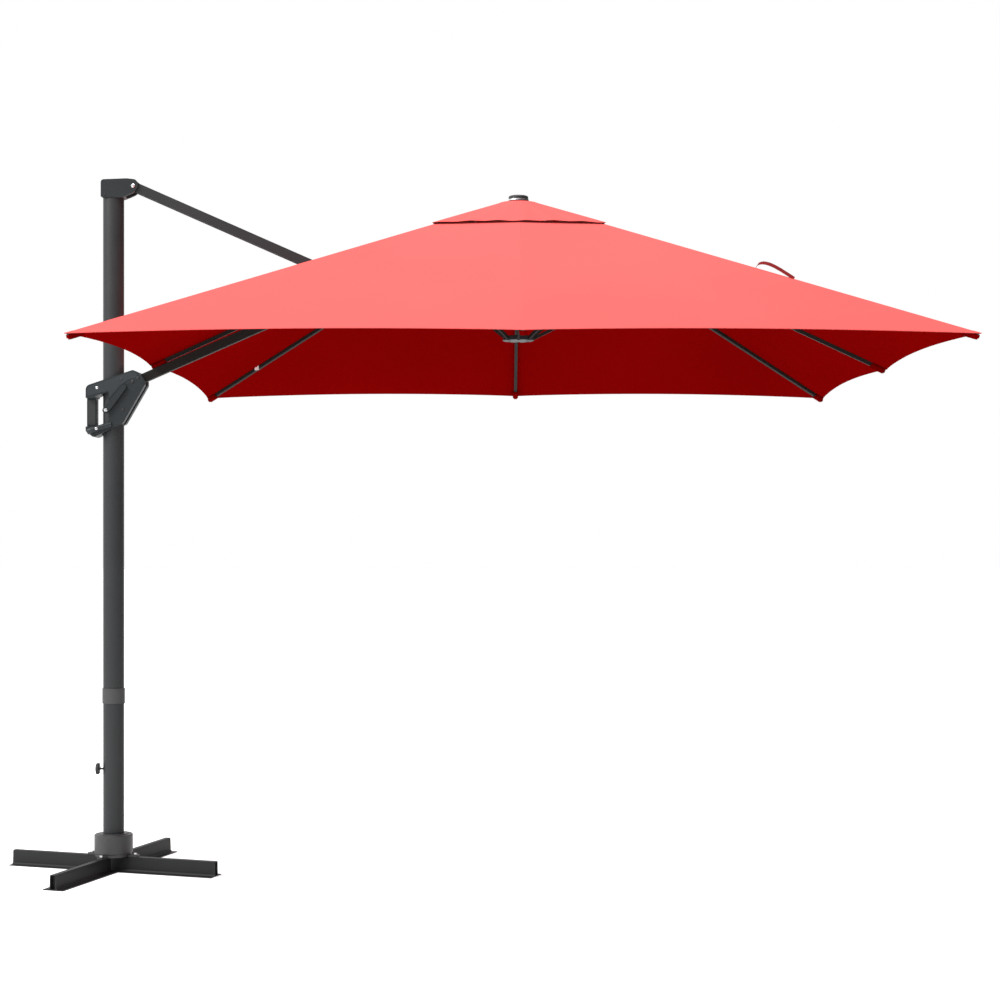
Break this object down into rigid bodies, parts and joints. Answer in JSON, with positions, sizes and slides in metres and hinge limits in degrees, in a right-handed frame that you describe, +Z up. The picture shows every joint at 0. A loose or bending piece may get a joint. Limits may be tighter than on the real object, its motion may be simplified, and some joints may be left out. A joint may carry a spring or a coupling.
{
  "type": "cantilever patio umbrella with cross base",
  "caption": "Square offset patio umbrella: red canopy with a vent hung beside a dark oval mast by an arm and strut, sliding lock carriage, swivel hub and steel cross base.",
  "frame": {"origin": "on the floor, at the mast's axis", "axes": "+Z up the mast, +X towards the canopy's centre"},
  "size_m": [3.6015, 3.0004, 2.8099],
  "materials": {
    "dark_paint": "satin",
    "dark_aluminium": "satin",
    "hub_paint": "satin",
    "shell_plastic": "matte",
    "black_plastic": "matte",
    "bolt_steel": "satin",
    "red_cloth": "matte"
  },
  "bodies": {
    "base": {"cross_bar": "dark_paint", "cross_leg_front": "dark_paint", "cross_leg_back": "dark_paint", "base_hub": "hub_paint", "hub_bolt_0": "bolt_steel", "hub_bolt_1": "bolt_steel", "hub_bolt_2": "bolt_steel", "hub_bolt_3": "bolt_steel"},
    "swivel_lock": {"swivel_lock_screw": "bolt_steel"},
    "mast": {"turntable": "hub_paint", "lower_mast": "dark_paint", "joint_spigot": "dark_paint", "joint_collar": "hub_paint", "upper_mast": "dark_paint", "mast_cap": "shell_plastic", "cap_bolt": "bolt_steel"},
    "knob": {"star_knob": "black_plastic"},
    "strut": {"strut_bar_front": "dark_paint", "strut_bar_back": "dark_paint", "strut_pin": "bolt_steel"},
    "arm": {"lift_arm": "dark_aluminium"},
    "carriage": {"carriage_front": "shell_plastic", "carriage_back": "shell_plastic", "arm_bolt": "bolt_steel", "glide_liner": "black_plastic", "lever_pin": "bolt_steel"},
    "lever": {"lock_lever": "shell_plastic"},
    "brake": {"brake_pin": "bolt_steel"},
    "crown": {"crown_hub": "dark_aluminium", "crown_pin": "bolt_steel", "finial": "black_plastic", "vent_cap": "red_cloth"},
    "runner": {"lower_hub": "shell_plastic"},
    "rib_body_000": {"rib_000": "dark_aluminium", "gore_000": "red_cloth"},
    "stretcher_body_000": {"stretcher_000": "dark_aluminium"},
    "rib_body_045": {"rib_045": "dark_aluminium", "gore_045": "red_cloth"},
    "stretcher_body_045": {"stretcher_045": "dark_aluminium"},
    "rib_body_090": {"rib_090": "dark_aluminium", "gore_090": "red_cloth"},
    "stretcher_body_090": {"stretcher_090": "dark_aluminium"},
    "rib_body_135": {"rib_135": "dark_aluminium", "gore_135": "red_cloth"},
    "stretcher_body_135": {"stretcher_135": "dark_aluminium"},
    "rib_body_180": {"rib_180": "dark_aluminium", "gore_180": "red_cloth"},
    "rib_body_225": {"rib_225": "dark_aluminium", "gore_225": "red_cloth"},
    "stretcher_body_225": {"stretcher_225": "dark_aluminium"},
    "rib_body_270": {"rib_270": "dark_aluminium", "gore_270": "red_cloth"},
    "stretcher_body_270": {"stretcher_270": "dark_aluminium"},
    "rib_body_315": {"rib_315": "dark_aluminium", "gore_315": "red_cloth"},
    "stretcher_body_315": {"stretcher_315": "dark_aluminium"}
  },
  "joints": [
    {"name": "swivel", "type": "hinge", "parent": "base", "child": "mast", "pos_m": [0, 0, 0.1], "axis": [0, 0, 1], "continuous": true},
    {"name": "swivel_lock_turn", "type": "hinge", "parent": "base", "child": "swivel_lock", "pos_m": [-0.05515, 0.05515, 0.125], "axis": [-0.7071, 0.7071, 0], "continuous": true},
    {"name": "knob_turn", "type": "hinge", "parent": "mast", "child": "knob", "pos_m": [-0.05, 0, 0.4126], "axis": [-1, 0, 0], "continuous": true},
    {"name": "fold", "type": "hinge", "parent": "mast", "child": "strut", "pos_m": [0.085, 0, 2.78], "axis": [0, 1, 0], "range_deg": [0, 54], "deforming": ["vent_cap", "gore_000", "gore_045", "gore_090", "gore_135", "gore_180", "gore_225", "gore_270", "gore_315"]},
    {"name": "strut_to_arm", "type": "hinge", "parent": "strut", "child": "arm", "pos_m": [0.98839, 0, 2.3825], "axis": [0, 1, 0], "range_deg": [-109, 1]},
    {"name": "arm_to_carriage", "type": "hinge", "parent": "arm", "child": "carriage", "pos_m": [0.085, 0, 1.985], "axis": [0, 1, 0], "range_deg": [-1, 55]},
    {"name": "arm_to_crown", "type": "hinge", "parent": "arm", "child": "crown", "pos_m": [1.62794, 0, 2.66391], "axis": [0, 1, 0], "range_deg": [-1, 55]},
    {"name": "lever_turn", "type": "hinge", "parent": "carriage", "child": "lever", "pos_m": [-0.02, -0.0535, 1.869], "axis": [0, 1, 0], "range_deg": [0, 25]},
    {"name": "brake_slide", "type": "slide", "parent": "carriage", "child": "brake", "axis": [0, 1, 0], "range_m": [-0.0002, 0.002]},
    {"name": "rib_hinge_000", "type": "hinge", "parent": "crown", "child": "rib_body_000", "pos_m": [1.708, 0, 2.7], "axis": [0, 1, 0], "range_deg": [-1, 58]},
    {"name": "stretcher_hinge_000", "type": "hinge", "parent": "rib_body_000", "child": "stretcher_body_000", "pos_m": [2.24907, 0, 2.43114], "axis": [0, 1, 0], "range_deg": [-115.5, 1]},
    {"name": "rib_hinge_045", "type": "hinge", "parent": "crown", "child": "rib_body_045", "pos_m": [1.69043, 0.04243, 2.7], "axis": [-0.7071, 0.7071, 0], "range_deg": [-1, 64.62]},
    {"name": "stretcher_hinge_045", "type": "hinge", "parent": "rib_body_045", "child": "stretcher_body_045", "pos_m": [2.06964, 0.42164, 2.506], "axis": [-0.7071, 0.7071, 0], "range_deg": [-116.65, 1]},
    {"name": "rib_hinge_090", "type": "hinge", "parent": "crown", "child": "rib_body_090", "pos_m": [1.648, 0.06, 2.7], "axis": [-1, 0, 0], "range_deg": [-1, 58]},
    {"name": "stretcher_hinge_090", "type": "hinge", "parent": "rib_body_090", "child": "stretcher_body_090", "pos_m": [1.648, 0.60107, 2.43114], "axis": [-1, 0, 0], "range_deg": [-115.5, 1]},
    {"name": "rib_hinge_135", "type": "hinge", "parent": "crown", "child": "rib_body_135", "pos_m": [1.60557, 0.04243, 2.7], "axis": [-0.7071, -0.7071, 0], "range_deg": [-1, 64.62]},
    {"name": "stretcher_hinge_135", "type": "hinge", "parent": "rib_body_135", "child": "stretcher_body_135", "pos_m": [1.22636, 0.42164, 2.506], "axis": [-0.7071, -0.7071, 0], "range_deg": [-116.65, 1]},
    {"name": "rib_hinge_180", "type": "hinge", "parent": "crown", "child": "rib_body_180", "pos_m": [1.588, 0, 2.7], "axis": [0, -1, 0], "range_deg": [-1, 54.53]},
    {"name": "rib_hinge_225", "type": "hinge", "parent": "crown", "child": "rib_body_225", "pos_m": [1.60557, -0.04243, 2.7], "axis": [0.7071, -0.7071, 0], "range_deg": [-1, 64.62]},
    {"name": "stretcher_hinge_225", "type": "hinge", "parent": "rib_body_225", "child": "stretcher_body_225", "pos_m": [1.22636, -0.42164, 2.506], "axis": [0.7071, -0.7071, 0], "range_deg": [-116.65, 1]},
    {"name": "rib_hinge_270", "type": "hinge", "parent": "crown", "child": "rib_body_270", "pos_m": [1.648, -0.06, 2.7], "axis": [1, 0, 0], "range_deg": [-1, 58]},
    {"name": "stretcher_hinge_270", "type": "hinge", "parent": "rib_body_270", "child": "stretcher_body_270", "pos_m": [1.648, -0.60107, 2.43114], "axis": [1, 0, 0], "range_deg": [-115.5, 1]},
    {"name": "rib_hinge_315", "type": "hinge", "parent": "crown", "child": "rib_body_315", "pos_m": [1.69043, -0.04243, 2.7], "axis": [0.7071, 0.7071, 0], "range_deg": [-1, 64.62]},
    {"name": "stretcher_hinge_315", "type": "hinge", "parent": "rib_body_315", "child": "stretcher_body_315", "pos_m": [2.06964, -0.42164, 2.506], "axis": [0.7071, 0.7071, 0], "range_deg": [-116.65, 1]},
    {"name": "runner_hinge", "type": "hinge", "parent": "stretcher_body_000", "child": "runner", "pos_m": [1.708, 0, 2.1622], "axis": [0, 1, 0], "range_deg": [-1, 58]}
  ],
  "couplings": [
    {"joint": "strut_to_arm", "follows": "fold", "ratio": -2},
    {"joint": "arm_to_carriage", "follows": "fold", "ratio": 1},
    {"joint": "arm_to_crown", "follows": "fold", "ratio": 1},
    {"joint": "brake_slide", "follows": "lever_turn", "m_per_rad": 0.0041},
    {"joint": "rib_hinge_000", "follows": "fold", "ratio": 1.0556},
    {"joint": "stretcher_hinge_000", "follows": "fold", "ratio": -2.1111},
    {"joint": "rib_hinge_045", "follows": "fold", "ratio": 1.1781},
    {"joint": "stretcher_hinge_045", "follows": "fold", "ratio": -2.1324},
    {"joint": "rib_hinge_090", "follows": "fold", "ratio": 1.0556},
    {"joint": "stretcher_hinge_090", "follows": "fold", "ratio": -2.1111},
    {"joint": "rib_hinge_135", "follows": "fold", "ratio": 1.1781},
    {"joint": "stretcher_hinge_135", "follows": "fold", "ratio": -2.1324},
    {"joint": "rib_hinge_180", "follows": "fold", "ratio": 0.99139},
    {"joint": "rib_hinge_225", "follows": "fold", "ratio": 1.1781},
    {"joint": "stretcher_hinge_225", "follows": "fold", "ratio": -2.1324},
    {"joint": "rib_hinge_270", "follows": "fold", "ratio": 1.0556},
    {"joint": "stretcher_hinge_270", "follows": "fold", "ratio": -2.1111},
    {"joint": "rib_hinge_315", "follows": "fold", "ratio": 1.1781},
    {"joint": "stretcher_hinge_315", "follows": "fold", "ratio": -2.1324},
    {"joint": "runner_hinge", "follows": "fold", "ratio": 1.0556}
  ]
}
